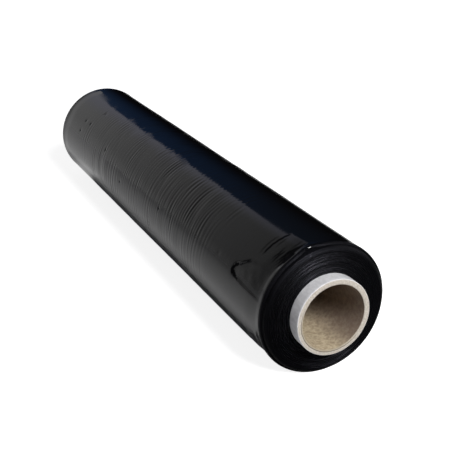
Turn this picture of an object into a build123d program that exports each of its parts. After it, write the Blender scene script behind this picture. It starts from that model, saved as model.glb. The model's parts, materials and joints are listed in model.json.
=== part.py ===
from build123d import *
from math import cos, degrees, radians, sin, sqrt
import os

# A roll of stretch wrap lying on its side: film wound tight on a spiral cardboard core.
# Millimetres. X runs along the roll, Z points up and the roll lies on Z = 0.
# Angles round the roll are measured from its top towards the front, which faces -Y.

# Film
FILM_WIDTH = 500.0
FILM_DIAMETER = 101.5
FLAT_SPOT_WIDTH = 12.0  # the soft film gives a little where it lies

# Core
CORE_BORE = 50.0
CORE_WALL = 4.1
CORE_OVERHANG = 10.8  # bare core past the film at each end
CORE_EDGE_BREAK = 0.5

# Shoulders: the outermost wraps stop short of the end faces, and the rest rounds off in bevels
LIP_SETBACK = 3.5
LIP_THICKNESS = 2.0
LIP_BEVEL = 2.5
SHOULDER_BEVELS = 3

# Turns showing on the end faces
TURN_PITCH = 1.2
TURN_RELIEF = 0.4

# Gauge bands: thick and thin lanes of the film build into groups of shallow rings round the roll
BAND_PITCH = 10.0
BAND_RELIEF = 0.3
BANDS_IN_GROUP = 3
GROUP_PITCH = 62.0
PLAIN_FAR_END = 95.0
PLAIN_NEAR_END = 88.0

# Rims: the film dips before its thicker edge at each end
RIM_RISE = 3.6
DIP_RUN = 16.0
DIP_DEPTH = 0.3

# Pocket where the outermost wraps have parted, narrow at its nose and open towards the near rim
POCKET_ANGLE = 64.0
POCKET_START = 55.5  # from the end face back to the nose
POCKET_END = 9.0  # from the end face back to the wide end
POCKET_WIDTH = 23.0
POCKET_CORNER = 1.5
NOSE_WIDTH = 8.0
NOSE_CORNER = 3.0
NOSE_DROP = 3.5  # how far the nose lies below the line of the pocket's angle
NOSE_DEPTH = 0.8
POCKET_RISE = 0.6  # how much shallower the pocket is at its wide end
POCKET_REACH = 6.0  # how far the cutter for the pocket goes into the roll

# Free end of the film, lying along the back
TAIL_ANGLE = -62.0
TAIL_STEP = 0.4
TAIL_RUN = 6.0

# How far a shape runs on past the surface that it crosses
RUN_PAST = 0.5

# Share that spreads the rings' sizes without a visible repeat
GOLDEN_SHARE = 0.618034

film_radius = FILM_DIAMETER / 2
core_radius = CORE_BORE / 2 + CORE_WALL
core_length = FILM_WIDTH + 2 * CORE_OVERHANG
axis_height = sqrt(film_radius**2 - (FLAT_SPOT_WIDTH / 2) ** 2)
end_x = FILM_WIDTH / 2
lip_x = end_x - LIP_SETBACK
rim_x = lip_x - LIP_BEVEL
face_radius = film_radius - LIP_THICKNESS - LIP_SETBACK
centre = Vector(0, 0, axis_height)
along = Vector(1, 0, 0)


def uneven(index):
    """An irregular share between 0 and 1 for the ring of this number."""
    return (index * GOLDEN_SHARE) % 1.0


def outward(angle):
    """Direction away from the roll's axis at an angle from the top."""
    return Vector(0, -sin(radians(angle)), cos(radians(angle)))


def lengthwise_plane(angle, origin):
    """Plane along the roll whose own X runs along it and whose Y points outward at an angle."""
    return Plane(origin=origin, x_dir=along, z_dir=along.cross(outward(angle)))


def cross_plane(x, origin):
    """Plane square to the roll at a place along it, whose own X is the roll's Y."""
    return Plane(origin=origin + along * x, x_dir=(0, 1, 0), z_dir=along)


def rim_profile(side):
    """Half-section of one rim and the dip before it, from the rim inwards."""
    return [
        (side * rim_x, film_radius),
        (side * (rim_x - RIM_RISE), film_radius - DIP_DEPTH),
        (side * (rim_x - RIM_RISE - DIP_RUN), film_radius),
    ]


def band_profile():
    """Half-section of the outside, ring by ring, from the far rim to the near one."""
    group_length = BANDS_IN_GROUP * BAND_PITCH
    groups = int((FILM_WIDTH - PLAIN_FAR_END - PLAIN_NEAR_END) // GROUP_PITCH)
    points = rim_profile(-1)
    for group in range(groups):
        start = -end_x + PLAIN_FAR_END + group * GROUP_PITCH
        start += (GROUP_PITCH - group_length) * uneven(group)
        for band in range(BANDS_IN_GROUP):
            share = uneven(group * BANDS_IN_GROUP + band)
            crest = start + band * BAND_PITCH
            valley = crest + BAND_PITCH * (0.4 + 0.2 * share)
            points.append((crest, film_radius))
            points.append((valley, film_radius - BAND_RELIEF * (1 - 0.6 * share)))
        points.append((start + group_length, film_radius))
    return points + rim_profile(1)[::-1]


def end_profile(side):
    """Half-section of one end: its lip, its shoulder and its turns, from the outside in to the core."""
    points = [(side * rim_x, film_radius)]
    for bevel in range(SHOULDER_BEVELS + 1):
        slope = radians(90 * bevel / SHOULDER_BEVELS)
        shoulder_x = lip_x + LIP_SETBACK * sin(slope)
        points.append((side * shoulder_x, face_radius + LIP_SETBACK * cos(slope)))
    count = round((face_radius - core_radius) / TURN_PITCH)
    for turn in range(1, count + 1):
        sunk = (turn % 2) * TURN_RELIEF * (0.4 + 0.6 * uneven(turn))
        radius = face_radius - (face_radius - core_radius) * turn / count
        points.append((side * (end_x - sunk), radius))
    return points


# The core: a board tube with burnished rims
with BuildPart() as cardboard_core:
    with BuildSketch(cross_plane(-core_length / 2, centre)):
        Circle(core_radius)
        Circle(CORE_BORE / 2, mode=Mode.SUBTRACT)
    extrude(amount=core_length)
    rims = cardboard_core.edges().filter_by(GeomType.CIRCLE)
    chamfer(rims, length=CORE_EDGE_BREAK)

# The cutter for the pocket: its outline, kept between a sloping floor and the air outside
with BuildPart() as pocket:
    pocket_plane = Plane(
        origin=centre + outward(POCKET_ANGLE) * (film_radius - POCKET_REACH),
        x_dir=along,
        z_dir=outward(POCKET_ANGLE),
    )
    nose_x = end_x - POCKET_START
    wide_x = end_x - POCKET_END
    with BuildSketch(pocket_plane) as outline:
        with BuildLine():
            Polyline(
                (nose_x, -NOSE_DROP - NOSE_WIDTH / 2),
                (wide_x, -POCKET_WIDTH / 2),
                (wide_x, POCKET_WIDTH / 2),
                (nose_x, -NOSE_DROP + NOSE_WIDTH / 2),
                close=True,
            )
        make_face()
        fillet(outline.vertices().group_by(Axis.X)[0], radius=NOSE_CORNER)
        fillet(outline.vertices().group_by(Axis.X)[-1], radius=POCKET_CORNER)
    extrude(amount=POCKET_REACH + RUN_PAST)
    with BuildSketch(lengthwise_plane(POCKET_ANGLE, centre)):
        with BuildLine():
            Polyline(
                (nose_x - RUN_PAST, film_radius - NOSE_DEPTH),
                (wide_x + RUN_PAST, film_radius - NOSE_DEPTH + POCKET_RISE),
                (wide_x + RUN_PAST, film_radius + RUN_PAST),
                (nose_x - RUN_PAST, film_radius + RUN_PAST),
                close=True,
            )
        make_face()
    revolve(axis=Axis(centre, along), mode=Mode.INTERSECT)

with BuildPart() as film_roll:
    # The wound film, turned from its half-section, which starts where the flat spot will be
    with BuildSketch(lengthwise_plane(180, centre)):
        with BuildLine():
            Polyline(band_profile())
            Polyline(end_profile(-1))
            Polyline(end_profile(1))
            Line(end_profile(-1)[-1], end_profile(1)[-1])
        make_face()
    revolve(axis=Axis(centre, along))

    add(pocket.part, mode=Mode.SUBTRACT)

    # The free end of the film: a low step along the back, with a ramp down to it
    ramp_angle = TAIL_ANGLE - degrees(TAIL_RUN / film_radius)
    tail_corners = [
        outward(TAIL_ANGLE) * (film_radius - TAIL_STEP),
        outward(TAIL_ANGLE) * (film_radius + RUN_PAST),
        outward(ramp_angle) * (film_radius + RUN_PAST),
        outward(ramp_angle) * film_radius,
    ]
    with BuildSketch(cross_plane(-end_x, centre)):
        with BuildLine():
            Polyline([(corner.Y, corner.Z) for corner in tail_corners], close=True)
        make_face()
    extrude(amount=FILM_WIDTH, mode=Mode.SUBTRACT)

    # The flat spot that the roll lies on
    split(bisect_by=Plane.XY, keep=Keep.TOP)

os.makedirs("parts", exist_ok=True)
cardboard_core.part.label = "cardboard_core"
film_roll.part.label = "film_roll"
export_step(cardboard_core.part, "parts/cardboard_core.step")
export_step(film_roll.part, "parts/film_roll.step")
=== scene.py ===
import json
from math import cos, pi, radians, sin

import bpy
import numpy as np
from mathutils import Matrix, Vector


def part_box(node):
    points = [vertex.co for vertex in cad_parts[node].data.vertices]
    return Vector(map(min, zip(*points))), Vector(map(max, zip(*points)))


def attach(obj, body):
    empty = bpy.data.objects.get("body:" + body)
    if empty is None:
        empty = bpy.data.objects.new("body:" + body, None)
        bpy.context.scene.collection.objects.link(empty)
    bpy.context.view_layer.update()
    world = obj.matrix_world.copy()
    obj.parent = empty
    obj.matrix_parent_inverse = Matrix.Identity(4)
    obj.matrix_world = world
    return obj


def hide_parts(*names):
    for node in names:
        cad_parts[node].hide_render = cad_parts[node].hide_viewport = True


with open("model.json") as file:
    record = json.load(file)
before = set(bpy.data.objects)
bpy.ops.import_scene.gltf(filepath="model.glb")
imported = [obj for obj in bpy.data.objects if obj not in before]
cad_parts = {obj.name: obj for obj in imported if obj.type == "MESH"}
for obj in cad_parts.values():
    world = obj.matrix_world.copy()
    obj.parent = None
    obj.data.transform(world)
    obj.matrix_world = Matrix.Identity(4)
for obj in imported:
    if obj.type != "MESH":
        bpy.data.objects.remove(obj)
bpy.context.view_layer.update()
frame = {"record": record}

# A roll of black stretch wrap on a cardboard core, lying on a white floor.
# Metres, apart from the film's relief, which is in millimetres. X runs along the roll towards the
# near end and Z is up. Angles round the roll are in degrees from its top towards the front, at -Y.
MM = 0.001
FULL_TURN = 2 * pi
SEED = 7

# Sizes read from the frame
bore = next(mount for mount in frame["record"]["mounts"] if mount["name"] == "core_bore")
film_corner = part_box("film_roll")[1]
core_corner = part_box("cardboard_core")[1]
AXIS_HEIGHT = bore["pos_m"][2]
BORE_RADIUS = bore["dims"]["r_mm"] * MM
CORE_RADIUS = core_corner.z - AXIS_HEIGHT
CORE_END = core_corner.x
SKIN_GAP = 0.005 * MM  # keeps the film just inside the CAD's faceted round
FILM_RADIUS = film_corner.z - AXIS_HEIGHT - SKIN_GAP
FILM_END = film_corner.x

# Ends of the film: the outermost wraps stop at a lip, short of the rounded shoulder and the end face
LIP_SETBACK = 3.5 * MM
LIP_THICKNESS = 2.0 * MM
LIP_ROUND = 2.5 * MM
LIP_SQUARENESS = 2.6  # 2 gives an even round
LIP_RADIUS = FILM_RADIUS - LIP_THICKNESS
LIP_END = FILM_END - LIP_SETBACK
LIP_START = LIP_END - LIP_ROUND
FACE_RADIUS = LIP_RADIUS - LIP_SETBACK
SHOULDER_TURN = 84  # degrees that the shoulder turns through
OVERLAP = 0.4 * MM  # how far the inner wraps reach under the outermost ones

# Turns showing on the ends
TURN_PITCH = 1.2 * MM
TURN_RELIEF = 0.25 * MM
TURN_SHARES = (0.3, 1.0)

# Steps of the outside's mesh, each span with its start, end and steps. They are finer on the side that
# shows its wrinkles, at the pocket and at the free end.
ANGLE_SPANS = (
    (-55, 10, 22), (10, 110, 88), (110, 140, 14), (140, 285, 26),
    (285, 298, 10), (298, 298.4, 1), (298.4, 305, 5),
)
COLUMN_SPANS = (
    (LIP_START, 0.2425, 12), (0.2425, 0.19, 97), (0.19, 0.165, 18),
    (0.165, -0.165, 390), (-0.165, -LIP_START, 56),
)
STEPS_LIP = 8

# Steps of the meshes of the ends and the core
END_STEPS = 180
STEPS_SHOULDER = 9
ROWS_IN_TURN = 4
CORE_STEPS = 180

# Ripples of the stretched film that show on the front: middle and reach along the roll, wave length,
# first and last angle, and height
MAIN_RIPPLES = (
    (33, 7.5, 4.6, 13, 46, 0.15),
    (78, 3.5, 4.4, 36, 76, 0.12),
    (105.5, 6, 4.4, 12, 74, 0.11),
    (128, 8, 4.2, 12, 46, 0.08),
    (152, 4, 4.6, 14, 44, 0.06),
    (52, 5, 4.4, 56, 90, 0.06),
    (-34, 5, 4.2, 20, 84, 0.08),
    (-50, 6, 4.8, 12, 40, 0.08),
    (-107, 5, 5.2, 16, 46, 0.08),
    (-130, 6, 5.6, 15, 44, 0.09),
    (-146, 5, 5.0, 15, 34, 0.06),
)
RIPPLE_FADE = (0.4, 1.0)  # shares of the way from a ripple's middle angle to its ends

# Zone of the wrinkles along the roll, and how they fade about its far and near end
RIPPLE_ZONE = (-158, 158)
FADE_FAR = (-12, 14)
FADE_NEAR = (-14, 10)
FINE_FADE_FAR = (-28, -6)
FINE_OUTSIDE = 0.06  # share of the fine lines that is left outside the zone

# Fine lines round the roll, as many waves: their lengths, their turns round the roll and their slope
FINE_WAVES = 90
FINE_LENGTHS = (3.4, 7.0)
FINE_TURNS = 5
FINE_SLOPE = 0.05
# Slower waves gather them in clusters, with a least share between the clusters
CLUSTER_WAVES = 12
CLUSTER_LENGTHS = (25, 90)
CLUSTER_TURNS = 6
CLUSTER_RANGE = (-3, 4)
CLUSTER_LEAST = 0.25

# Packets of waves all round the roll
LESSER_RIPPLES = 150
LESSER_ANGLES = (14, 60)
LESSER_LENGTHS = (3.4, 5.5)
LESSER_SLOPE = 0.013
LESSER_SHARES = (0.3, 1)
LESSER_REACHES = (3, 9)

# Low folds
FOLDS = 260
FOLD_WIDTHS = (2.0, 5)
FOLD_LEAN = 0.25
FOLD_SLOPE = 0.018
FOLD_ANGLES = (6, 18)

# The film lies calmer along the top, most of all towards its far and near end
CALM_TOP = 0.2
CALM_FAR = 0.6
CALM_FAR_SPAN = (-140, -90)
CALM_NEAR = 0.35
CALM_NEAR_SPAN = (40, 90)
CALM_ANGLES = (18, 30)

# Slow unevenness of the whole winding
SLOW_WAVES = 10
SLOW_LENGTHS = (120, 300)
SLOW_LOBES = (1, 5)
SLOW_HEIGHT = 0.03

# How far the wrinkled film lies below its highest places, and over which length it ends before the lips
MEAN_DROP = 0.12
WRINKLES_END = 5

# Small pits in the outside: place along the roll, angle and share of the full depth
PITS = (
    (-160, 29, 1), (-187, 64, 1), (-185, 50, 1), (-170, 50, 1),
    (-103, 62, 1), (-47, 80, 1), (52, 72, 1), (170, 65, 0.5),
)
PIT_DEPTH = 0.26
PIT_SIZE = (1.5, 1.6)
PIT_DULL = 0.6  # share of the depth below which a pit is dull

# Pocket near the near end, where the outermost wraps have parted: its edges from its nose to the rim,
# as places along the roll and angles
NOSE_PLACE, NOSE_ANGLE = 194.5, 68
POCKET_END = 241
UPPER_EDGE = (
    (NOSE_PLACE, NOSE_ANGLE), (195.2, 64.5), (197, 61.5), (203, 58.5),
    (206, 55.8), (211, 52), (220, 50.5), (POCKET_END, 49),
)
LOWER_EDGE = (
    (NOSE_PLACE, NOSE_ANGLE), (196, 70.2), (203, 71.5), (214, 73.3), (228, 74), (POCKET_END, 75),
)
POCKET_DEPTH = 0.8
POCKET_RISE = 0.75  # share of the depth that is lost towards the rim
POCKET_WALL = 1.3
SOFT_WALL = 1.2  # how much wider the wall gets away from the nose
SOFT_WALL_SPAN = (199, 214)
# Hollow behind the nose
HOLLOW_DEPTH = 0.3
HOLLOW_PLACE = NOSE_PLACE + 5
HOLLOW_SIZE = (3.0, 3.6)
# Unevenness of the pocket's floor, which starts inside its edge
POCKET_WAVES = 8
POCKET_WAVE_LENGTHS = (9, 20)
POCKET_WAVE_TURNS = (-40, 40)
POCKET_WAVE_HEIGHT = 0.007
POCKET_WAVE_START = (0, 3)
# Its wall is darkest and widest at the nose, and dark along the start of the lower edge
NOSE_SHADE = 2.6
NOSE_SHADE_REACH = 4.5
NOSE_SHADE_LEAST = 1
LOWER_SHADE_END = 206
# Dull patches on its upper edge
EDGE_PATCHES = ((203, 58.8), (211, 51.6))
PATCH_SIZE = (1.6, 2.0)
PATCH_LEAST = 0.5

# The film dips before its thicker edge, which builds up into a rim at each end
DIP_DEPTH = 0.3
DIP_RUN = 16
DIP_BACK = 0.35  # share of the dip round the back
DIP_FRONT = (5, 14)
RIM_RISE = 3.6
RIM_SPREAD = 4.0  # how much wider the rise is along the front
SPREAD_FRONT = (45, 60)
FRONT_END = (150, 170)
RIM_WOBBLE = ((0.5, 3, 0), (0.4, 7, 40))  # height, lobes and start in degrees

# Steps down towards the near rim: place along the roll, first and last angle, and drop
TERRACES = (
    (213.5, 24, 46, 0.12), (217.5, 15, 44, 0.32), (221, 20, 34, 0.1),
    (208, 112, 145, 0.2), (222, 106, 145, 0.25), (234, 102, 145, 0.25),
)
TERRACE_RUN = 1.1
TERRACE_FADES = (3, 8)  # degrees about the first angle, and before the last
# Their edges are ragged: height and lobes
RAGGED_EDGES = ((0.5, (9, 20)), (0.25, (60, 90)))
RAGGED_PHASES = (0, 6)
# Short steps in the last of the film
SHORT_TERRACES = 16
SHORT_TERRACE_STARTS = (13, 32)
SHORT_TERRACE_PLACES = (228, 240)
SHORT_TERRACE_ANGLES = (8, 22)
SHORT_TERRACE_DROPS = (0.08, 0.16)

# Free end of the film, lying along the back
TAIL_ANGLE = -62
TAIL_STEP = 0.4
TAIL_RUN = 6.8

# Nick where the near lip is pulled back and smooth, so that it glints
NICK_ANGLE = 14.5
NICK_WIDTH = 5.5
NICK_DEPTH = 2.6 * MM
NICK_RUN = 8 * MM

# Smooth spot on the near shoulder, which glints too
SPOT_ANGLE = 16
SPOT_REACH = 1
SPOT_RADII = (FACE_RADIUS + 1.2 * MM, FACE_RADIUS + 2.6 * MM)


def smoothstep(values, low, high):
    """Smooth step from 0 at the low value to 1 at the high one."""
    share = np.clip((values - low) / (high - low), 0, 1)
    return share * share * (3 - 2 * share)


def bell(values, middle, width):
    """Bell curve that is 1 at its middle."""
    return np.exp(-0.5 * ((values - middle) / width) ** 2)


def angle_gap(angle, middle):
    """Difference of angles, the short way round."""
    return (angle - middle + 180) % 360 - 180


def waves(x, angle, wave, turns, phase):
    """Waves along the roll that drift with the angle, some turns in the whole way round."""
    return np.sin(FULL_TURN * x / wave + turns * np.radians(angle) + phase)


def ripple(x, angle, at, reach, wave, first, last, height, phase):
    """A packet of waves along the roll that covers part of the way round and fades at its ends."""
    gap = np.abs(angle_gap(angle, (first + last) / 2)) / ((last - first) / 2)
    packet = height * bell(x, at, reach) * waves(x, angle, wave, 0, phase)
    return packet * (1 - smoothstep(gap, *RIPPLE_FADE))


def fine_lines(x, angle, chance):
    """Many fine lines round the roll, in clusters."""
    lines = np.zeros_like(x)
    for _ in range(FINE_WAVES):
        wave = chance.uniform(*FINE_LENGTHS)
        turns = chance.integers(-FINE_TURNS, FINE_TURNS + 1)
        lines += wave * waves(x, angle, wave, turns, chance.uniform(0, FULL_TURN))
    cluster = np.zeros_like(x)
    for _ in range(CLUSTER_WAVES):
        wave = chance.uniform(*CLUSTER_LENGTHS)
        turns = chance.integers(-CLUSTER_TURNS, CLUSTER_TURNS + 1)
        cluster += waves(x, angle, wave, turns, chance.uniform(0, FULL_TURN))
    share = CLUSTER_LEAST + smoothstep(cluster, *CLUSTER_RANGE)
    return share * lines * FINE_SLOPE / (FULL_TURN * (FINE_WAVES / 2) ** 0.5)


def lesser_ripple(x, angle, chance):
    """A packet of waves somewhere on the roll."""
    first = chance.uniform(-180, 180)
    last = first + chance.uniform(*LESSER_ANGLES)
    wave = chance.uniform(*LESSER_LENGTHS)
    height = LESSER_SLOPE * wave * chance.uniform(*LESSER_SHARES)
    at = chance.uniform(*RIPPLE_ZONE)
    phase = chance.uniform(0, FULL_TURN)
    return ripple(x, angle, at, chance.uniform(*LESSER_REACHES), wave, first, last, height, phase)


def fold(x, angle, chance):
    """A low fold somewhere on the roll, a hump or a hollow."""
    at = chance.uniform(*RIPPLE_ZONE)
    gap = angle_gap(angle, chance.uniform(-180, 180))
    width = chance.uniform(*FOLD_WIDTHS)
    lean = chance.normal(0, FOLD_LEAN)
    height = chance.normal(0, FOLD_SLOPE) * width
    return height * bell(x + lean * gap, at, width) * bell(gap, 0, chance.uniform(*FOLD_ANGLES))


def slow_wave(x, angle, chance):
    """A slow wave along the roll, with a few lobes round it."""
    slow = waves(x, 0, chance.uniform(*SLOW_LENGTHS), 0, chance.uniform(0, FULL_TURN))
    lobes = chance.integers(*SLOW_LOBES)
    return SLOW_HEIGHT * slow * np.cos(lobes * np.radians(angle) + chance.uniform(0, FULL_TURN))


def zone_share(x, fade_far, fade_near):
    """Share of the wrinkles along the roll, with a fade about each end of their zone."""
    low, high = RIPPLE_ZONE
    started = smoothstep(x, low + fade_far[0], low + fade_far[1])
    ended = smoothstep(x, high + fade_near[0], high + fade_near[1])
    return started * (1 - ended)


def film_relief(x, angle):
    """Height in mm of the outside over a true cylinder, at mm along the roll and degrees round it."""
    chance = np.random.default_rng(SEED)
    zone = zone_share(x, FADE_FAR, FADE_NEAR)
    fine_zone = zone_share(x, FINE_FADE_FAR, FADE_NEAR)
    relief = (FINE_OUTSIDE + (1 - FINE_OUTSIDE) * fine_zone) * fine_lines(x, angle, chance)
    for packet in MAIN_RIPPLES:
        relief += ripple(x, angle, *packet, chance.uniform(0, FULL_TURN))
    for _ in range(LESSER_RIPPLES):
        relief += zone * lesser_ripple(x, angle, chance)
    for _ in range(FOLDS):
        relief += zone * fold(x, angle, chance)
    calm = CALM_TOP + CALM_FAR * (1 - smoothstep(x, *CALM_FAR_SPAN))
    calm += CALM_NEAR * smoothstep(x, *CALM_NEAR_SPAN)
    relief *= 1 - calm * (1 - smoothstep(np.abs(angle), *CALM_ANGLES))
    for _ in range(SLOW_WAVES):
        relief += slow_wave(x, angle, chance)
    return relief


def pit_relief(x, angle):
    """The small pits."""
    sunk = np.zeros_like(x)
    for at, middle, share in PITS:
        sunk -= share * PIT_DEPTH * bell(x, at, PIT_SIZE[0]) * bell(angle, middle, PIT_SIZE[1])
    return sunk


def pocket_reach(x, angle):
    """Distance in mm inside the pocket's edge, below zero outside it."""
    arc = np.radians(1) * FILM_RADIUS / MM
    upper = np.interp(x, *np.transpose(UPPER_EDGE))
    lower = np.interp(x, *np.transpose(LOWER_EDGE))
    inside = np.minimum(angle - upper, lower - angle) * arc
    return inside - np.maximum(NOSE_PLACE - x, 0)


def pocket_relief(x, angle):
    """The pocket, deepest at its nose, with an uneven floor."""
    chance = np.random.default_rng(SEED + 1)
    inside = pocket_reach(x, angle)
    fade = 1 - POCKET_RISE * smoothstep(x, NOSE_PLACE, POCKET_END)
    soft = SOFT_WALL * smoothstep(x, *SOFT_WALL_SPAN)
    sunk = POCKET_DEPTH * smoothstep(inside, -POCKET_WALL / 2, POCKET_WALL / 2 + soft) * fade
    sunk += HOLLOW_DEPTH * bell(x, HOLLOW_PLACE, HOLLOW_SIZE[0]) * bell(angle, NOSE_ANGLE, HOLLOW_SIZE[1])
    uneven = np.zeros_like(x)
    for _ in range(POCKET_WAVES):
        wave = chance.uniform(*POCKET_WAVE_LENGTHS)
        turns = chance.integers(*POCKET_WAVE_TURNS)
        uneven += waves(x, angle, wave, turns, chance.uniform(0, FULL_TURN))
    return -sunk + POCKET_WAVE_HEIGHT * uneven * smoothstep(inside, *POCKET_WAVE_START)


def short_terraces(chance):
    """Short steps in the last of the film before the near rim."""
    made = []
    for _ in range(SHORT_TERRACES):
        first = chance.uniform(*SHORT_TERRACE_STARTS)
        at = chance.uniform(*SHORT_TERRACE_PLACES)
        last = first + chance.uniform(*SHORT_TERRACE_ANGLES)
        made.append((at, first, last, chance.uniform(*SHORT_TERRACE_DROPS)))
    return tuple(made)


def terrace(x, angle, at, first, last, drop, chance):
    """A step down towards the near rim, with a ragged edge."""
    ragged = np.zeros_like(x)
    for height, lobes in RAGGED_EDGES:
        turns = chance.integers(*lobes)
        ragged += height * np.sin(np.radians(angle) * turns + chance.uniform(*RAGGED_PHASES))
    fade_in, fade_out = TERRACE_FADES
    started = smoothstep(angle, first - fade_in, first + fade_in)
    share = started * (1 - smoothstep(angle, last - fade_out, last))
    return drop * share * smoothstep(x + ragged, at, at + TERRACE_RUN)


def rim_relief(x, angle):
    """The dips before the rims, with steps at the near one."""
    chance = np.random.default_rng(SEED + 2)
    rim = LIP_START / MM
    wobble = sum(height * np.sin(np.radians(lobes * angle + start)) for height, lobes, start in RIM_WOBBLE)
    place = np.abs(x) + wobble
    front = 1 - smoothstep(angle, *FRONT_END)
    rise = RIM_RISE + RIM_SPREAD * smoothstep(angle, *SPREAD_FRONT) * front
    dip = DIP_DEPTH * smoothstep(place, rim - rise - DIP_RUN, rim - rise)
    dip *= DIP_BACK + (1 - DIP_BACK) * smoothstep(angle, *DIP_FRONT) * front
    for step in TERRACES + short_terraces(chance):
        dip += terrace(x, angle, *step, chance)
    return -dip * (1 - smoothstep(place, rim - rise, rim))


def tail_relief(angle):
    """The free end of the film: a low step with a ramp down to it."""
    before = angle_gap(angle, TAIL_ANGLE - TAIL_RUN) / TAIL_RUN
    return -TAIL_STEP * np.where((before > 0) & (before <= 1), before, 0)


def lip_rows():
    """Half-section of the near lip from the shoulder up: metres along and metres out."""
    power = 2 / LIP_SQUARENESS
    rows = []
    for slope in np.linspace(0, pi / 2, STEPS_LIP, endpoint=False):
        along = LIP_START + LIP_ROUND * cos(slope) ** power
        rows.append((along, LIP_RADIUS + LIP_THICKNESS * sin(slope) ** power))
    return rows


def end_rows(chance):
    """Half-section of the near end from the core out: its turns as uneven ridges, then its shoulder."""
    width = FACE_RADIUS - CORE_RADIUS
    turns = round(width / TURN_PITCH)
    ridges = chance.uniform(*TURN_SHARES, turns + 1) * TURN_RELIEF
    rows = []
    for step in range(turns * ROWS_IN_TURN):
        turn = step / ROWS_IN_TURN
        sunk = ridges[int(turn)] * sin(pi * (turn % 1)) ** 2
        rows.append((FILM_END - sunk, CORE_RADIUS + width * turn / turns))
    for slope in np.linspace(0, radians(SHOULDER_TURN), STEPS_SHOULDER):
        along = FILM_END - LIP_SETBACK * (1 - cos(slope))
        rows.append((along, FACE_RADIUS + LIP_SETBACK * sin(slope)))
    return rows


def both_ends(near, middle):
    """A whole section from the rows of the near end, the rows between, and the near ones mirrored."""
    far = [(-along, out) for along, out in near[::-1]]
    return np.array(list(near) + list(middle) + far)


def stepped(spans):
    """Steps through spans that follow each other."""
    return np.concatenate([np.linspace(*span, endpoint=False) for span in spans])


def even_angles(steps):
    """Even steps all the way round."""
    return np.linspace(-180, 180, steps, endpoint=False)


def rolled_mesh(name, along, out, angle):
    """A closed skin swept round the roll's axis from grids of metres along, metres out and angle: a row
    for each place of the section, and a column for each step round. The last row joins the first."""
    count, steps = along.shape
    turn = np.radians(angle)
    height = np.maximum(AXIS_HEIGHT + out * np.cos(turn), 0.0)
    points = np.stack([along, -out * np.sin(turn), height], -1).reshape(-1, 3)
    row, step = np.meshgrid(np.arange(count), np.arange(steps), indexing="ij")
    here, ahead = row * steps, (row + 1) % count * steps
    next_step = (step + 1) % steps
    corners = [here + step, here + next_step, ahead + next_step, ahead + step]
    faces = np.stack(corners, -1).reshape(-1, 4)
    mesh = bpy.data.meshes.new(name)
    mesh.from_pydata(points.tolist(), [], faces.tolist())
    # The unrolled place of each corner: metres along and turns round
    places = np.stack([along, angle / 360], -1).reshape(-1, 2)[faces]
    places[(step == steps - 1).ravel(), 1:3, 1] += 1
    mesh.uv_layers.new(name="unrolled").data.foreach_set("uv", places.astype(np.float32).ravel())
    mesh.shade_smooth()
    piece = bpy.data.objects.new(name, mesh)
    bpy.context.scene.collection.objects.link(piece)
    return piece


def dress(piece, node, materials, kinds):
    """Joins a piece to the frame as part of a CAD node, and gives each face the material of its kind."""
    for material in materials:
        piece.data.materials.append(material)
    piece.data.polygons.foreach_set("material_index", kinds.ravel().astype(np.int32))
    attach(piece, "root")
    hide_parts(node)


# Kinds of film surface, in the order of the film's materials
FILM, LIPS, TURNS, PARTED = range(4)


def outer_kinds(x, angle, outside):
    """Kind of each face of the outermost wraps: dull lips, pits and patches, and the pocket's dark wall."""
    inside = pocket_reach(x, angle)
    shade = NOSE_SHADE * bell(x, NOSE_PLACE, NOSE_SHADE_REACH)
    patches = np.zeros_like(x)
    for at, middle in EDGE_PATCHES:
        patches += bell(x, at, PATCH_SIZE[0]) * bell(angle, middle, PATCH_SIZE[1])
    wall = (inside > -POCKET_WALL / 2) & (inside < POCKET_WALL / 2 + shade + patches)
    low_wall = (angle > NOSE_ANGLE) & (x < LOWER_SHADE_END)
    dark = wall & (low_wall | (shade > NOSE_SHADE_LEAST))
    nick = (np.abs(angle - NICK_ANGLE) < NICK_WIDTH / 2) & (x > 0)
    dull = ~outside & ~nick
    dull |= pit_relief(x, angle) < -PIT_DULL * PIT_DEPTH
    dull |= wall & (patches > PATCH_LEAST)
    return np.where(dark, PARTED, np.where(dull, LIPS, FILM))


def build_outer_wraps(materials):
    """The outermost wraps: a tube with lips at its ends and the film's wrinkles."""
    columns = np.append(stepped(COLUMN_SPANS), -LIP_START)
    section = both_ends(lip_rows(), [(column, FILM_RADIUS) for column in columns])
    along, angle = np.meshgrid(section[:, 0], stepped(ANGLE_SPANS), indexing="ij")
    x = along / MM
    rim = LIP_START / MM
    relief = film_relief(x, angle) + pit_relief(x, angle) + pocket_relief(x, angle) - MEAN_DROP
    relief *= 1 - smoothstep(np.abs(x), rim - WRINKLES_END, rim)
    relief += rim_relief(x, angle) + tail_relief(angle)
    outside = np.abs(along) <= LIP_START
    out = section[:, 1:2] + np.where(outside, np.minimum(relief, 0) * MM, 0)
    pulled = NICK_DEPTH * bell(angle, NICK_ANGLE, NICK_WIDTH)
    pulled *= smoothstep(along, LIP_START - NICK_RUN, LIP_START)
    piece = rolled_mesh("outer_wraps", along - pulled, out, angle)
    dress(piece, "film_roll", materials, outer_kinds(x, angle, outside))


def build_inner_wraps(materials):
    """The wraps below them: their turns show as rings at the ends, inside a rounded shoulder."""
    hidden = (LIP_END - OVERLAP, LIP_RADIUS + OVERLAP)
    near = end_rows(np.random.default_rng(SEED + 3)) + [hidden]
    section = both_ends(near, [])
    along, angle = np.meshgrid(section[:, 0], even_angles(END_STEPS), indexing="ij")
    out = section[:, 1:2] + np.zeros_like(along)
    piece = rolled_mesh("inner_wraps", along, out, angle)
    spot = (along > 0) & (out > SPOT_RADII[0]) & (out < SPOT_RADII[1])
    spot &= np.abs(angle - SPOT_ANGLE) < SPOT_REACH
    kinds = np.where((out < FACE_RADIUS) | spot, TURNS, LIPS)
    dress(piece, "film_roll", materials, kinds)


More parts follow.
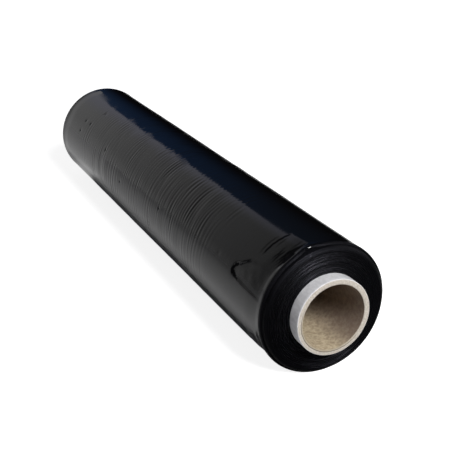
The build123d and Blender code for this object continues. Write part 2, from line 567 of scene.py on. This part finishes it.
# Core: a broken edge at each rim, whose rounds are shares of that edge
CORE_EDGE = 0.5 * MM
OUTER_ROUND = (0.15, 0.35)
INNER_ROUND = (0.3, 0.3)
# Further places of its section: just under the film, near the paper's rim and inside the bore
UNDER_FILM = 1 * MM
PAPER_RIM = 2 * MM
BORE_RIM = 20 * MM

# Kinds of core surface, in the order of the core's materials
PAPER, CUT, KRAFT = range(3)


def core_section():
    """Half-section of the core from the middle of its outside to the middle of its bore, with the kind of
    surface that starts at each place."""
    inner, outer, edge = BORE_RADIUS, CORE_RADIUS, CORE_EDGE
    return (
        (0.0, outer, PAPER),
        (FILM_END - UNDER_FILM, outer, PAPER),
        (CORE_END - PAPER_RIM, outer, PAPER),
        (CORE_END - edge, outer, PAPER),
        (CORE_END - OUTER_ROUND[0] * edge, outer - OUTER_ROUND[1] * edge, CUT),
        (CORE_END, outer - edge, CUT),
        (CORE_END, (outer + inner) / 2, CUT),
        (CORE_END, inner + edge, CUT),
        (CORE_END - INNER_ROUND[0] * edge, inner + INNER_ROUND[1] * edge, CUT),
        (CORE_END - edge, inner, KRAFT),
        (CORE_END - BORE_RIM, inner, KRAFT),
        (FILM_END / 2, inner, KRAFT),
        (0.0, inner, KRAFT),
    )


def build_core(materials):
    """The core: a board tube with white paper outside, cut ends and a plain bore."""
    near = core_section()
    far = [(-x, radius, near[max(step - 1, 0)][2]) for step, (x, radius, _) in enumerate(near)]
    section = np.array(near + tuple(far[-2:0:-1]))[::-1]
    along, angle = np.meshgrid(section[:, 0], even_angles(CORE_STEPS), indexing="ij")
    out = section[:, 1:2] + np.zeros_like(along)
    kinds = np.roll(section[:, 2:], -1, axis=0) + np.zeros_like(along)
    piece = rolled_mesh("core_tube", along, out, angle)
    dress(piece, "cardboard_core", materials, kinds)
    return piece


def add_node(tree, kind, settings=None, inputs=None):
    """A new node with its settings, and each input set to a value or joined to another node's output."""
    made = tree.nodes.new(kind)
    for name, value in (settings or {}).items():
        setattr(made, name, value)
    for key, value in (inputs or {}).items():
        if isinstance(value, bpy.types.NodeSocket):
            tree.links.new(value, made.inputs[key])
        else:
            made.inputs[key].default_value = value
    return made


def maths(tree, operation, *values):
    """The result of a maths node on values or sockets."""
    return add_node(tree, "ShaderNodeMath", {"operation": operation}, dict(enumerate(values))).outputs[0]


def product(tree, first, *others):
    """The product of several sockets."""
    for other in others:
        first = maths(tree, "MULTIPLY", first, other)
    return first


def vector_maths(tree, operation, *values):
    """A vector maths node on values or sockets."""
    return add_node(tree, "ShaderNodeVectorMath", {"operation": operation}, dict(enumerate(values)))


def smooth_range(tree, value, low, high, to_low=0.0, to_high=1.0):
    """A smooth step of a socket's value from one range to another."""
    made = add_node(tree, "ShaderNodeMapRange", {"interpolation_type": "SMOOTHSTEP"}, {
        "Value": value, "From Min": low, "From Max": high, "To Min": to_low, "To Max": to_high})
    return made.outputs["Result"]


def colour_mix(tree, share, first, second, blend="MIX"):
    """A blend of two colours, each a value or a socket."""
    made = add_node(tree, "ShaderNodeMix", {"data_type": "RGBA", "blend_type": blend}, {
        0: share, 6: first, 7: second})
    return made.outputs[2]


def object_place(tree):
    """Socket for the place in the object's own space, in metres."""
    return add_node(tree, "ShaderNodeTexCoord").outputs["Object"]


def parts(tree, vector):
    """Sockets for the three parts of a vector."""
    return add_node(tree, "ShaderNodeSeparateXYZ", inputs={0: vector}).outputs[:3]


NOISE_ROUGHNESS = 0.55


def noise(tree, along, across, detail, offset=0.0):
    """Noise in the object's own space, with a scale along the roll and one across it, in cycles a metre."""
    scale = (along, across, across)
    scaled = vector_maths(tree, "MULTIPLY_ADD", object_place(tree), scale, (offset, offset, offset))
    made = add_node(tree, "ShaderNodeTexNoise", inputs={
        "Vector": scaled.outputs[0], "Scale": 1.0, "Detail": detail, "Roughness": NOISE_ROUGHNESS})
    return made.outputs["Fac"]


def axis_distance(tree):
    """Socket for the distance from the roll's axis, in metres."""
    moved = vector_maths(tree, "SUBTRACT", object_place(tree), (0, 0, AXIS_HEIGHT))
    flat = vector_maths(tree, "MULTIPLY", moved.outputs[0], (0, 1, 1))
    return vector_maths(tree, "LENGTH", flat.outputs[0]).outputs["Value"]


def ring_noise(tree, scale, detail):
    """Noise that changes only with the distance from the roll's axis, in cycles a metre."""
    made = add_node(tree, "ShaderNodeTexNoise", {"noise_dimensions": "1D"}, {
        "W": axis_distance(tree), "Scale": scale, "Detail": detail})
    return made.outputs["Fac"]


def bump(tree, height, distance):
    """A bumped normal from a height between 0 and 1, as deep as the distance in metres."""
    made = add_node(tree, "ShaderNodeBump", inputs={"Distance": distance, "Height": height})
    return made.outputs[0]


def new_material(name):
    """A new node material, its tree and its main shader."""
    material = bpy.data.materials.new(name)
    material.use_nodes = True
    return material, material.node_tree, material.node_tree.nodes["Principled BSDF"]


# Film. Noise has a scale along the roll and one across it, then its detail and offset. A range of four
# has its start, its end and the values there.
FILM_BLACK = (0.003, 0.003, 0.0034, 1)
FILM_IOR = 1.5
FILM_STREAKS = (450, 14, 3.0)
STREAK_DEPTH = 0.005 * MM
FILM_WEAR = (40, 30, 3.0, 4.0)
FILM_ROUGHNESS = (0.3, 0.75, 0.06, 0.11)

# Edges of wraps, whose rings have a scale and a detail
EDGE_BLACK = (0.001, 0.001, 0.0013, 1)
EDGE_GLOSS_TINT = (0.92, 0.92, 1.1, 1)
GLOSS_RINGS = (900.0, 3.0)
GLOSS_RANGE = (0.3, 0.7)
EDGE_RINGS = (3000.0, 2.0)
EDGE_RING_DEPTH = 0.3 * MM


def film_material():
    """Glossy black film with fine streaks round the roll."""
    material, tree, shader = new_material("black_film_outside")
    shader.inputs["Base Color"].default_value = FILM_BLACK
    shader.inputs["IOR"].default_value = FILM_IOR
    streaks = noise(tree, *FILM_STREAKS)
    wear = noise(tree, *FILM_WEAR)
    tree.links.new(smooth_range(tree, wear, *FILM_ROUGHNESS), shader.inputs["Roughness"])
    tree.links.new(bump(tree, streaks, STREAK_DEPTH), shader.inputs["Normal"])
    return material


def film_edge_material(name, gloss, smoothest, roughest):
    """Edges of wraps: black, with a gloss that changes from ring to ring."""
    material, tree, shader = new_material(name)
    shader.inputs["Base Color"].default_value = EDGE_BLACK
    shader.inputs["Specular IOR Level"].default_value = gloss
    shader.inputs["Specular Tint"].default_value = EDGE_GLOSS_TINT
    rings = ring_noise(tree, *GLOSS_RINGS)
    roughness = smooth_range(tree, rings, *GLOSS_RANGE, smoothest, roughest)
    tree.links.new(roughness, shader.inputs["Roughness"])
    tree.links.new(bump(tree, ring_noise(tree, *EDGE_RINGS), EDGE_RING_DEPTH), shader.inputs["Normal"])
    return material


# White liner paper
PAPER_FIBRES = (300, 500, 4.0)
FIBRE_RANGE = (0.3, 0.7)
FIBRE_DEPTH = 0.05 * MM
PAPER_DARK = (0.66, 0.655, 0.672, 1)
PAPER_LIGHT = (0.77, 0.765, 0.785, 1)
PAPER_SCUFFS = (60, 90, 3.0, 3.0)
SCUFF_RANGE = (0.55, 0.8, 0.0, 0.4)
SCUFF_GREY = (0.5, 0.49, 0.49, 1)
PAPER_ROUGHNESS = 0.55
BOARD_ROUGHNESS = 0.9
BOARD_DEPTH = 0.2 * MM


def core_paper_material():
    """White liner paper on the outside of the core."""
    material, tree, shader = new_material("core_white_paper")
    fibres = noise(tree, *PAPER_FIBRES)
    scuffs = noise(tree, *PAPER_SCUFFS)
    paper = colour_mix(tree, smooth_range(tree, fibres, *FIBRE_RANGE), PAPER_DARK, PAPER_LIGHT)
    paper = colour_mix(tree, smooth_range(tree, scuffs, *SCUFF_RANGE), paper, SCUFF_GREY)
    tree.links.new(paper, shader.inputs["Base Color"])
    shader.inputs["Roughness"].default_value = PAPER_ROUGHNESS
    tree.links.new(bump(tree, fibres, FIBRE_DEPTH), shader.inputs["Normal"])
    return material


# Cut end of the board: fuzz, plies that stray a little, the inner ply with a gap, the liner's edge, and
# painted shade at the low front
BOARD_FUZZ = (200, 700, 4.0)
FUZZ_RANGE = (0.3, 0.7)
BOARD_DARK = (0.385, 0.345, 0.295, 1)
BOARD_LIGHT = (0.515, 0.475, 0.42, 1)
PLY_STRAYS = (200, 120, 2.0, 5.0)
PLY_STRAY = 0.7 * MM
PLY_THICKNESS = 0.55 * MM
PLY_LINE = (0.0, 0.12 * MM, 1.0, 0.0)
PLY_LINE_SHARE = 0.35
PLY_LINE_BROWN = (0.32, 0.27, 0.2, 1)
INNER_EDGE = BORE_RADIUS + 1.2 * MM
INNER_RANGE = (INNER_EDGE - 0.2 * MM, INNER_EDGE + 0.2 * MM, 1.0, 0.0)
INNER_BROWN = (0.34, 0.29, 0.21, 1)
GAP_RANGE = (0.15 * MM, 0.45 * MM, 0.95, 0.0)
GAP_BROWN = (0.1, 0.08, 0.06, 1)
LINER_EDGE = CORE_RADIUS - 0.5 * MM
LINER_RANGE = (LINER_EDGE - 0.3 * MM, LINER_EDGE + 0.3 * MM, 0.0, 0.8)
LINER_WHITE = (0.58, 0.56, 0.54, 1)
# Low front of the roll, where the inner ply stands apart and painted shade darkens the cut end a little
LOW_FRONT_LEAN = 0.6
LOW_FRONT_RANGE = (AXIS_HEIGHT - 0.03, AXIS_HEIGHT + 0.008, 1.0, 0.0)
CUT_PAINTED_SHADE_SHARE = 0.03
CUT_PAINTED_SHADE_BROWN = (0.12, 0.1, 0.08, 1)


def low_front(tree):
    """Socket that is 1 at the low front of the roll and 0 at its top and back."""
    _, y, z = parts(tree, object_place(tree))
    return smooth_range(tree, maths(tree, "MULTIPLY_ADD", y, LOW_FRONT_LEAN, z), *LOW_FRONT_RANGE)


def core_end_material():
    """The cut end of the board: plies as faint rings, the white liner's edge outside, and an inner ply that
    stands apart at the low front, where its wear shows and a little painted shade darkens the cut end."""
    material, tree, shader = new_material("core_cut_board")
    fuzz = noise(tree, *BOARD_FUZZ)
    stray = maths(tree, "SUBTRACT", noise(tree, *PLY_STRAYS), 0.5)
    distance = maths(tree, "MULTIPLY_ADD", stray, PLY_STRAY, axis_distance(tree))
    worn_and_shaded = low_front(tree)
    board = colour_mix(tree, smooth_range(tree, fuzz, *FUZZ_RANGE), BOARD_DARK, BOARD_LIGHT)
    lines = smooth_range(tree, maths(tree, "PINGPONG", distance, PLY_THICKNESS / 2), *PLY_LINE)
    board = colour_mix(tree, product(tree, lines, PLY_LINE_SHARE), board, PLY_LINE_BROWN)
    inner = smooth_range(tree, distance, *INNER_RANGE)
    board = colour_mix(tree, product(tree, inner, worn_and_shaded), board, INNER_BROWN)
    gap = maths(tree, "ABSOLUTE", maths(tree, "SUBTRACT", distance, INNER_EDGE))
    gap = smooth_range(tree, gap, *GAP_RANGE)
    board = colour_mix(tree, product(tree, gap, worn_and_shaded), board, GAP_BROWN)
    board = colour_mix(tree, smooth_range(tree, distance, *LINER_RANGE), board, LINER_WHITE)
    # Painted shade: the cut end darkens a little towards the low front
    board = colour_mix(tree, product(tree, worn_and_shaded, CUT_PAINTED_SHADE_SHARE), board, CUT_PAINTED_SHADE_BROWN)
    tree.links.new(board, shader.inputs["Base Color"])
    shader.inputs["Roughness"].default_value = BOARD_ROUGHNESS
    tree.links.new(bump(tree, fuzz, BOARD_DEPTH), shader.inputs["Normal"])
    return material


# Kraft inside the core: mottled, speckled, with painted shade that darkens its back, and a seam that winds
# along it
KRAFT_MOTTLE = (380, 380, 5.0)
MOTTLE_RANGE = (0.25, 0.75)
KRAFT_DARK = (0.29, 0.225, 0.145, 1)
KRAFT_LIGHT = (0.53, 0.443, 0.306, 1)
KRAFT_SPECKS = (1200, 1200, 2.0, 2.0)
SPECK_RANGE = (0.6, 0.75, 0, 0.4)
SPECK_BROWN = (0.18, 0.135, 0.1, 1)
BORE_PAINTED_SHADE_RANGE = (0.0, 0.022, 0.0, 0.76)
BORE_PAINTED_SHADE_BROWN = (0.095, 0.06, 0.055, 1)
SEAM_LEAD = 120 * MM
SEAM_RANGE = (0.0, 0.012, 1.0, 0.0)
SEAM_SHARE = 0.5
SEAM_BROWN = (0.14, 0.1, 0.08, 1)


def winding_seam(tree):
    """Socket that is 1 on the seam of the core's winding, from the unrolled place."""
    place = add_node(tree, "ShaderNodeUVMap", {"uv_map": "unrolled"}).outputs[0]
    along, turns, _ = parts(tree, place)
    turns = maths(tree, "MULTIPLY_ADD", along, 1 / SEAM_LEAD, turns)
    return smooth_range(tree, maths(tree, "PINGPONG", turns, 0.5), *SEAM_RANGE)


def core_bore_material():
    """Grey-brown kraft inside the core, speckled, with painted shade on its back and the seam of its
    winding.
    """
    material, tree, shader = new_material("core_kraft_bore")
    mottle = noise(tree, *KRAFT_MOTTLE)
    specks = noise(tree, *KRAFT_SPECKS)
    back = parts(tree, object_place(tree))[1]
    board = colour_mix(tree, smooth_range(tree, mottle, *MOTTLE_RANGE), KRAFT_DARK, KRAFT_LIGHT)
    board = colour_mix(tree, smooth_range(tree, specks, *SPECK_RANGE), board, SPECK_BROWN)
    # Painted shade: the bore gets darker towards its back
    board = colour_mix(tree, smooth_range(tree, back, *BORE_PAINTED_SHADE_RANGE), board, BORE_PAINTED_SHADE_BROWN)
    board = colour_mix(tree, product(tree, winding_seam(tree), SEAM_SHARE), board, SEAM_BROWN)
    tree.links.new(board, shader.inputs["Base Color"])
    shader.inputs["Roughness"].default_value = BOARD_ROUGHNESS
    tree.links.new(bump(tree, mottle, BOARD_DEPTH), shader.inputs["Normal"])
    return material


# Camera, at the photograph's angle
CAMERA_PLACE = (715.1 * MM, -297.7 * MM, 291.1 * MM + AXIS_HEIGHT)
CAMERA_AZIMUTH = 64.68
CAMERA_ELEVATION = 22.46
CAMERA_LENS = 70.09
CAMERA_SENSOR = 36


def build_camera():
    """The camera."""
    data = bpy.data.cameras.new("photo_camera")
    data.sensor_width = CAMERA_SENSOR
    data.lens = CAMERA_LENS
    camera = bpy.data.objects.new("photo_camera", data)
    camera.location = CAMERA_PLACE
    camera.rotation_euler = (radians(90 - CAMERA_ELEVATION), 0, radians(CAMERA_AZIMUTH))
    bpy.context.scene.collection.objects.link(camera)
    bpy.context.scene.camera = camera


# World, by the parts of a ray's direction. The room that the film mirrors is blue above, and darker
# towards the back and the front.
WHITE = (1, 1, 1, 1)
AMBIENT = (0.08, 0.08, 0.085, 1)
ROOM_LOW = (0.002, 0.002, 0.003, 1)
ROOM_HIGH = (0.02, 0.05, 0.125, 1)
ROOM_LIFT = (0.05, 0.42)
ROOM_BACK = (0.1, 0.6, 1.0, 0.25)
ROOM_FRONT = (-0.1, 0.06)
# It is duller towards the roll's near end, and brighter towards its far end
ROOM_NEAR = (-0.88, -0.8)
ROOM_NEAR_TINT = (1.0, 0.72, 0.55, 1)
ROOM_FAR = (-0.94, -0.9, 1.0, 0.0)
ROOM_FAR_TINT = (1.7, 1.55, 1.45, 1)
# White studio along each side of the roll, from a foot that is lower at the back
SIDES = (0.95, 0.95, 0.97, 1)
SIDES_OUT = (0.4, 0.5)
SIDES_FOOT = (-0.1, 0.1, 0.28, 0.02)
SIDES_FOOT_RUN = 0.08
SIDES_TOP = (0.78, 0.86, 1.0, 0.0)
SIDES_ENDS = (0.2, 0.35, 1.0, 0.0)


def white_sides(tree, x, y, z):
    """Share of the white studio along each side of the roll, for a direction's parts."""
    sideways = smooth_range(tree, maths(tree, "ABSOLUTE", y), *SIDES_OUT)
    foot = smooth_range(tree, y, *SIDES_FOOT)
    low = smooth_range(tree, maths(tree, "SUBTRACT", z, foot), 0.0, SIDES_FOOT_RUN)
    high = smooth_range(tree, z, *SIDES_TOP)
    beside = smooth_range(tree, maths(tree, "ABSOLUTE", x), *SIDES_ENDS)
    return product(tree, sideways, low, high, beside)


def build_world():
    """White to the camera, a little light all round, and in the film's gloss a dark blue room that is
    white along each side."""
    world = bpy.data.worlds.new("studio")
    bpy.context.scene.world = world
    world.use_nodes = True
    tree = world.node_tree
    tree.nodes.clear()
    x, y, z = parts(tree, add_node(tree, "ShaderNodeTexCoord").outputs["Generated"])
    lift = smooth_range(tree, z, *ROOM_LIFT)
    back = smooth_range(tree, y, *ROOM_BACK)
    front = smooth_range(tree, y, *ROOM_FRONT)
    room = colour_mix(tree, product(tree, lift, back, front), ROOM_LOW, ROOM_HIGH)
    room = colour_mix(tree, smooth_range(tree, x, *ROOM_NEAR), room, ROOM_NEAR_TINT, "MULTIPLY")
    room = colour_mix(tree, smooth_range(tree, x, *ROOM_FAR), room, ROOM_FAR_TINT, "MULTIPLY")
    room = colour_mix(tree, white_sides(tree, x, y, z), room, SIDES)
    path = add_node(tree, "ShaderNodeLightPath")
    seen = colour_mix(tree, path.outputs["Is Glossy Ray"], AMBIENT, room)
    seen = colour_mix(tree, path.outputs["Is Camera Ray"], seen, WHITE)
    background = add_node(tree, "ShaderNodeBackground", inputs={"Color": seen, "Strength": 1.0})
    add_node(tree, "ShaderNodeOutputWorld", inputs={0: background.outputs[0]})


# Floor: its colour, and its glow to the camera by the distance from the roll
FLOOR_SIZE = 6.0
FLOOR_COLOUR = 0.8
FLOOR_GLOW = (0.3, 1.2, 0.86, 1.0)
# A line along the roll that slants towards the near end with the distance in front of it
SLANT = 2.0
SLANT_START = 0.166
# Painted shade on the floor, which only the film's gloss sees: along that line, behind the roll, and before
# its near end
TONE_ALONG = (-0.06, 0.16, 0.95, 0.83)
TONE_BACK = (0.15, 0.4, 1.0, 0.01)
TONE_BEFORE = (-0.02, 0.07, 0.005, 0.13)
TONE_NEAR = (0.2, 0.26)
# Painted light, a glow that only the film's gloss sees: in front along that line, under the far end, and
# far beyond it
GAIN_START = -0.2
GAIN_SLOPE = 3.3
GAIN_MOST = 0.14
GAIN_FRONT = (-0.067, -0.041, 1.0, 0.0)
UNDER_END = (-0.235, -0.2, 0.4, 0.0)
PAST_END = (-0.3, -0.25, 0.4, 1.0)
UNDER_FRONT = (-0.08, -0.055)
GAIN_BEYOND = (-1.4, -0.3, 0.17, 0.0)
GAIN_BACK = (0.0, 0.1, 1.0, 0.0)


def painted_shade_in_gloss(tree, x, y, slant):
    """Painted shade on the floor in the film's gloss: dark behind the roll and before its near end."""
    before = smooth_range(tree, y, *TONE_BEFORE)
    near = smooth_range(tree, x, *TONE_NEAR, 1.0, before)
    return product(tree, smooth_range(tree, slant, *TONE_ALONG), smooth_range(tree, y, *TONE_BACK), near)


def painted_glow_in_gloss(tree, x, y, slant):
    """Painted light: a glow that the floor has in the film's gloss alone, most of all towards the far end.
    """
    gain = maths(tree, "MAXIMUM", maths(tree, "SUBTRACT", GAIN_START, slant), 0.0)
    gain = maths(tree, "MINIMUM", product(tree, gain, GAIN_SLOPE), GAIN_MOST)
    gain = product(tree, gain, smooth_range(tree, y, *GAIN_FRONT))
    under_end = smooth_range(tree, x, *UNDER_END)
    past_end = smooth_range(tree, x, *PAST_END)
    gain = maths(tree, "ADD", gain, product(tree, under_end, past_end, smooth_range(tree, y, *UNDER_FRONT)))
    gain = maths(tree, "ADD", gain, smooth_range(tree, x, *GAIN_BEYOND))
    return product(tree, gain, smooth_range(tree, y, *GAIN_BACK))


def floor_material():
    """White paper, with painted shade and a painted glow in the film's gloss."""
    material, tree, shader = new_material("floor_paper")
    path = add_node(tree, "ShaderNodeLightPath").outputs
    place = object_place(tree)
    x, y, _ = parts(tree, place)
    slant = maths(tree, "SUBTRACT", maths(tree, "MULTIPLY_ADD", y, -SLANT, x), SLANT_START)
    # Painted shade: the floor's colour in the film's gloss
    tones = {0: path["Is Glossy Ray"], 2: FLOOR_COLOUR, 3: painted_shade_in_gloss(tree, x, y, slant)}
    tree.links.new(add_node(tree, "ShaderNodeMix", inputs=tones).outputs[0], shader.inputs["Base Color"])
    shader.inputs["Roughness"].default_value = 1.0
    shader.inputs["Specular IOR Level"].default_value = 0.0
    shader.inputs["Emission Color"].default_value = WHITE
    away = vector_maths(tree, "LENGTH", place).outputs["Value"]
    glow = product(tree, path["Is Camera Ray"], smooth_range(tree, away, *FLOOR_GLOW))
    # Painted light: a glow that only glossy rays see
    gain = product(tree, path["Is Glossy Ray"], painted_glow_in_gloss(tree, x, y, slant))
    tree.links.new(maths(tree, "ADD", glow, gain), shader.inputs["Emission Strength"])
    return material


def stage_sheet(name, points, material):
    """A flat sheet of the stage through its points."""
    mesh = bpy.data.meshes.new(name)
    mesh.from_pydata(points, [], [tuple(range(len(points)))])
    mesh.materials.append(material)
    sheet = bpy.data.objects.new(name, mesh)
    bpy.context.scene.collection.objects.link(sheet)
    return sheet


def build_floor():
    """White floor. In the film's gloss it has painted shade, dark behind the roll and before its near end,
    and a painted glow.
    """
    size = FLOOR_SIZE
    points = [(-size, -size, 0), (size, -size, 0), (size, size, 0), (-size, size, 0)]
    stage_sheet("floor", points, floor_material())


# Light card beyond the far end, which the film mirrors: its edge is the line along the top of the roll.
# Places on the card are metres towards the back and metres above the roll's axis.
CARD_X = -1.5
CARD_OUTLINE = (
    (-3.0, -0.05), (0.4, -0.05), (0.32, 0.37), (0.295, 0.44), (0.28, 0.47),
    (0.18, 0.54), (0.105, 0.597), (0.148, 0.613), (0.142, 0.66), (0.175, 0.8),
    (0.25, 1.05), (0.315, 1.23), (0.44, 1.33), (0.8, 1.9), (-3.0, 2.2),
)
# It fades with the distance from its brightest place
CARD_BRIGHTEST = (CARD_X, -0.25, 0.3)
CARD_STRENGTH = 0.53
CARD_FALL = 0.28
CARD_LEAST = 0.02
# It is brighter and a little bluer in a band along that edge, which leans back with height
EDGE_LEAN = 0.24
EDGE_BAND = (-0.5, 0.0)
EDGE_GAIN = 1.55
EDGE_HEIGHTS = (0.55, 1.1)
EDGE_TINT = (0.95, 0.96, 1.15, 1)
EDGE_TINT_HEIGHTS = (0.4, 0.65)
# It is brighter at its foot, where it meets the floor
FOOT_GAIN = (0.0, 0.4, 1.25, 1.0)


def card_material():
    """Glow of the card."""
    material = bpy.data.materials.new("light_card")
    material.use_nodes = True
    tree = material.node_tree
    tree.nodes.clear()
    place = object_place(tree)
    _, y, z = parts(tree, place)
    away = vector_maths(tree, "DISTANCE", place, CARD_BRIGHTEST).outputs["Value"]
    fall = maths(tree, "MULTIPLY_ADD", away, -CARD_FALL, CARD_STRENGTH)
    band = smooth_range(tree, maths(tree, "MULTIPLY_ADD", z, -EDGE_LEAN, y), *EDGE_BAND)
    edge = product(tree, band, smooth_range(tree, z, *EDGE_HEIGHTS))
    gain = maths(tree, "MULTIPLY_ADD", edge, EDGE_GAIN - 1, 1.0)
    gain = product(tree, gain, smooth_range(tree, z, *FOOT_GAIN))
    strength = product(tree, maths(tree, "MAXIMUM", fall, CARD_LEAST), gain)
    tinted = product(tree, band, smooth_range(tree, z, *EDGE_TINT_HEIGHTS))
    tint = colour_mix(tree, tinted, WHITE, EDGE_TINT)
    glow = add_node(tree, "ShaderNodeEmission", inputs={"Color": tint, "Strength": strength})
    add_node(tree, "ShaderNodeOutputMaterial", inputs={0: glow.outputs[0]})
    return material


def build_card():
    """The light card, which shows only in reflections."""
    points = [(CARD_X, y, z + AXIS_HEIGHT) for y, z in CARD_OUTLINE]
    card = stage_sheet("light_card", points, card_material())
    card.visible_camera = False
    card.visible_diffuse = False
    card.visible_shadow = False


# Key light, high over the near end
KEY_PLACE = (1.6, 0.1, 1.2)
KEY_SIZE = 0.7
KEY_POWER = 38

# Fill light on the core, high over the far end
FILL_PLACE = (-1.6, 0.1, 1.2)
FILL_SIZE = 0.7
FILL_POWER = 30


def build_light(name, place, size, power):
    """A round soft light aimed at the middle of the floor."""
    data = bpy.data.lights.new(name, "AREA")
    data.shape = "DISK"
    data.size = size
    data.energy = power
    light = bpy.data.objects.new(name, data)
    light.location = place
    light.rotation_euler = (-Vector(place)).to_track_quat("-Z", "Y").to_euler()
    bpy.context.scene.collection.objects.link(light)
    return light


def build_fill(core):
    """Soft light for the core's far end. It lights the core alone, so the film mirrors the same floor."""
    fill = build_light("fill", FILL_PLACE, FILL_SIZE, FILL_POWER)
    fill.visible_glossy = False
    lit = bpy.data.collections.new("lit_by_fill")
    lit.objects.link(core)
    fill.light_linking.receiver_collection = lit


film_materials = (
    film_material(),
    film_edge_material("black_film_lips", gloss=0.15, smoothest=0.35, roughest=0.5),
    film_edge_material("black_film_turns", gloss=0.2, smoothest=0.22, roughest=0.33),
    film_edge_material("black_film_parted", gloss=0.04, smoothest=0.45, roughest=0.6),
)
core_materials = (core_paper_material(), core_end_material(), core_bore_material())
build_outer_wraps(film_materials)
build_inner_wraps(film_materials)
core_tube = build_core(core_materials)
build_camera()
build_world()
build_floor()
build_card()
build_light("key", KEY_PLACE, KEY_SIZE, KEY_POWER)
build_fill(core_tube)

bpy.context.scene.view_settings.view_transform = "Standard"
